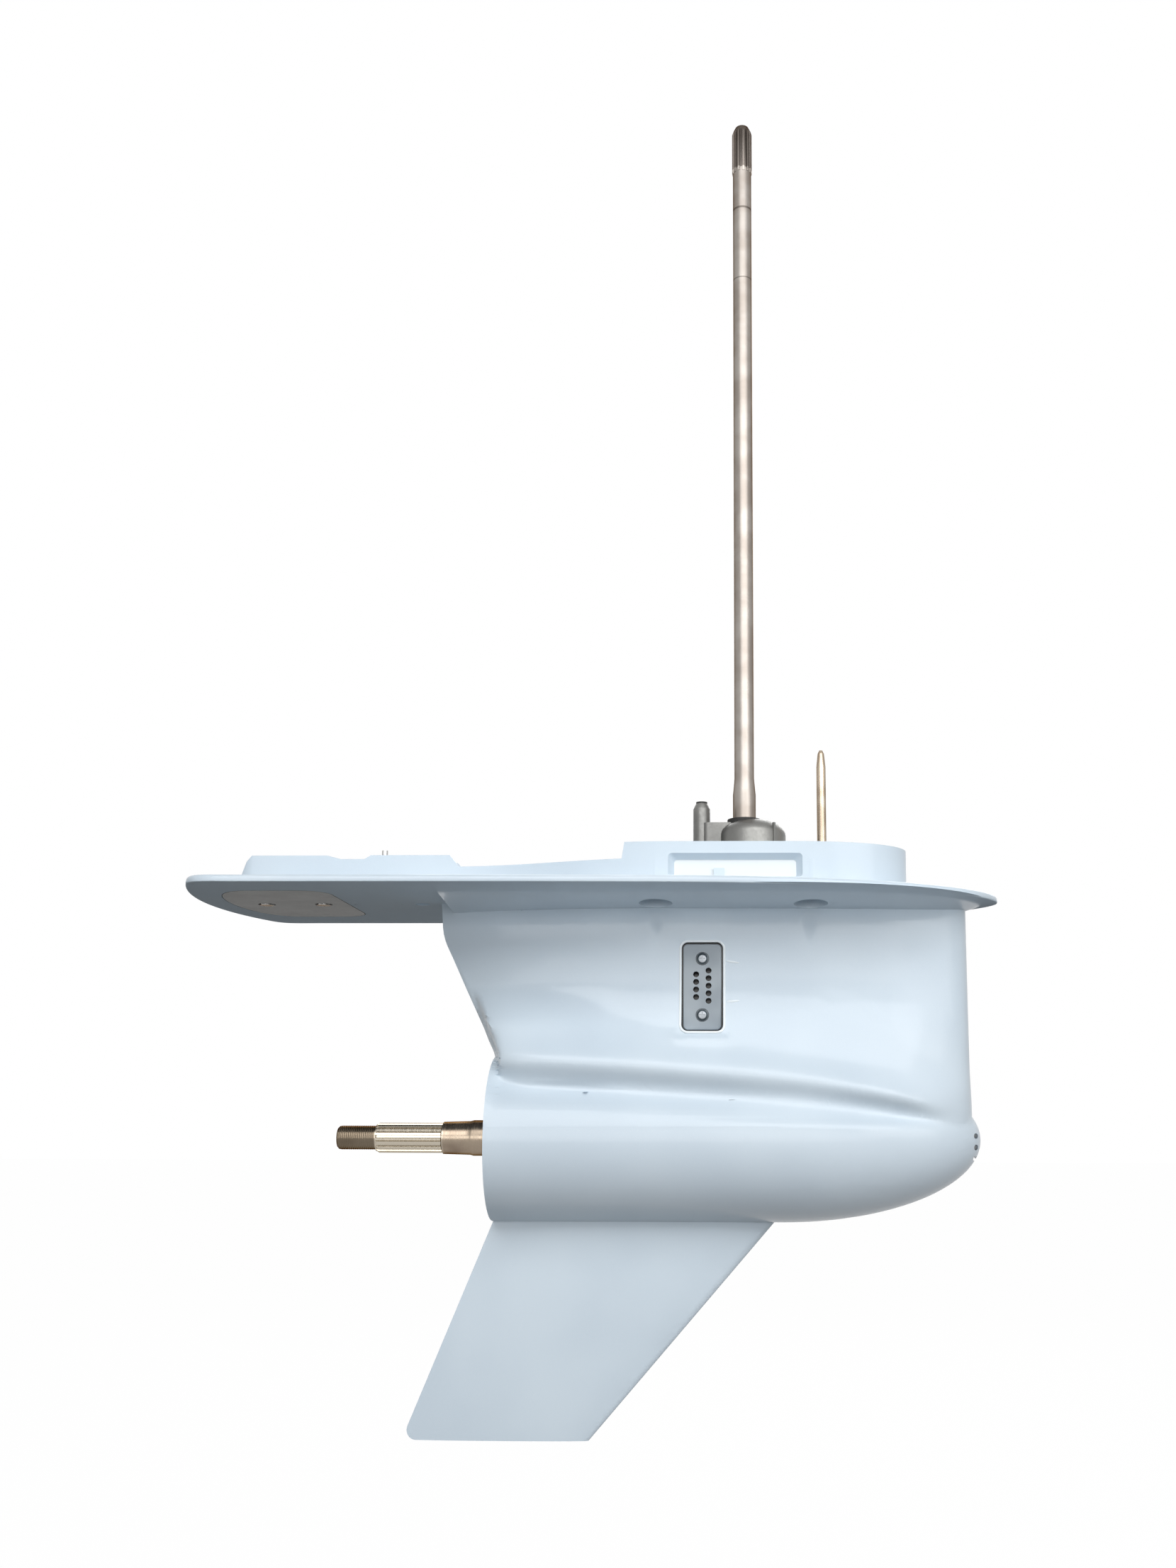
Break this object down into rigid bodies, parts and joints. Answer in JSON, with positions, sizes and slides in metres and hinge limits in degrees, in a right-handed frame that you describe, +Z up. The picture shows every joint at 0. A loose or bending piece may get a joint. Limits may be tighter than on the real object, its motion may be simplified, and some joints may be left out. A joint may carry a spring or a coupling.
{
  "type": "outboard motor lower unit",
  "caption": "Outboard lower unit: gearcase with torpedo, skeg and anti-ventilation plate, upright driveshaft with water pump, shift rod and splined propeller shaft.",
  "frame": {"origin": "where the driveshaft axis crosses the deck face that bolts up to the midsection", "axes": "+X forward to the bow along the propeller shaft, +Y to port, +Z up along the driveshaft"},
  "size_m": [0.688, 0.2554, 1.189],
  "materials": {
    "paint": "gloss",
    "grey_plastic": "satin",
    "pump_metal": "satin",
    "cast_alloy": "satin",
    "anode_alloy": "matte",
    "shaft_steel": "satin",
    "bright_steel": "satin",
    "gear_steel": "satin",
    "bronze": "satin",
    "black_rubber": "matte",
    "black_plastic": "matte"
  },
  "bodies": {
    "housing": {"gear_housing": "paint", "inlet_screen_starboard": "grey_plastic", "inlet_screen_port": "grey_plastic", "inlet_screws": "bright_steel", "tail_anode": "anode_alloy", "tail_anode_bolts": "bright_steel", "locating_dowel": "bright_steel", "pump_base_plate": "bright_steel", "pump_gasket": "black_rubber", "pump_housing": "pump_metal", "pump_liner": "bright_steel", "pump_bolts": "bright_steel", "pump_outlet_grommet": "black_rubber", "pump_shaft_seal": "black_rubber", "driveshaft_seal_carrier": "cast_alloy", "driveshaft_oil_seals": "black_rubber", "upper_bearing_cup": "gear_steel", "lower_needle_bearing": "gear_steel", "forward_bearing_cup": "gear_steel", "reverse_bearing_outer": "gear_steel", "bearing_carrier": "cast_alloy", "carrier_o_ring": "black_rubber", "carrier_needle_bearing": "gear_steel", "prop_shaft_oil_seals": "black_rubber", "carrier_tab_washer": "bright_steel", "carrier_ring_nut": "cast_alloy", "drain_plug": "bright_steel", "vent_plug": "bright_steel", "plug_seals": "black_rubber", "shift_rod_bush": "black_plastic", "shift_rod_seal": "black_rubber"},
    "driveshaft": {"driveshaft": "shaft_steel", "pinion_gear": "gear_steel", "pinion_nut": "gear_steel", "impeller": "black_rubber", "impeller_key": "bright_steel", "upper_bearing_cone": "gear_steel"},
    "forward_gear": {"forward_gear": "gear_steel", "forward_gear_bush": "bronze", "forward_bearing_cone": "gear_steel"},
    "reverse_gear": {"reverse_gear": "gear_steel", "reverse_bearing_inner": "gear_steel"},
    "prop_shaft": {"prop_shaft": "shaft_steel"},
    "clutch": {"clutch_dog": "gear_steel", "clutch_cross_pin": "gear_steel", "clutch_pin_ring": "gear_steel", "cam_follower": "gear_steel"},
    "shift_rod": {"shift_rod": "bronze"}
  },
  "joints": [
    {"name": "driveshaft_spin", "type": "hinge", "parent": "housing", "child": "driveshaft", "pos_m": [0, 0, 0], "axis": [0, 0, 1], "continuous": true},
    {"name": "forward_gear_spin", "type": "hinge", "parent": "housing", "child": "forward_gear", "pos_m": [0, 0, -0.246], "axis": [1, 0, 0], "continuous": true},
    {"name": "reverse_gear_spin", "type": "hinge", "parent": "housing", "child": "reverse_gear", "pos_m": [0, 0, -0.246], "axis": [1, 0, 0], "continuous": true},
    {"name": "prop_shaft_spin", "type": "hinge", "parent": "housing", "child": "prop_shaft", "pos_m": [0, 0, -0.246], "axis": [1, 0, 0], "continuous": true},
    {"name": "shift_rod_turn", "type": "hinge", "parent": "housing", "child": "shift_rod", "pos_m": [0.0675, 0, 0], "axis": [0, 0, 1], "range_deg": [-30, 30]},
    {"name": "clutch_slide", "type": "slide", "parent": "prop_shaft", "child": "clutch", "axis": [1, 0, 0], "range_m": [-0.0065, 0.0065]}
  ],
  "couplings": [
    {"joint": "forward_gear_spin", "follows": "driveshaft_spin", "ratio": -0.5},
    {"joint": "reverse_gear_spin", "follows": "driveshaft_spin", "ratio": 0.5},
    {"joint": "shift_rod_turn", "follows": "clutch_slide", "rad_per_m": -80.55}
  ]
}
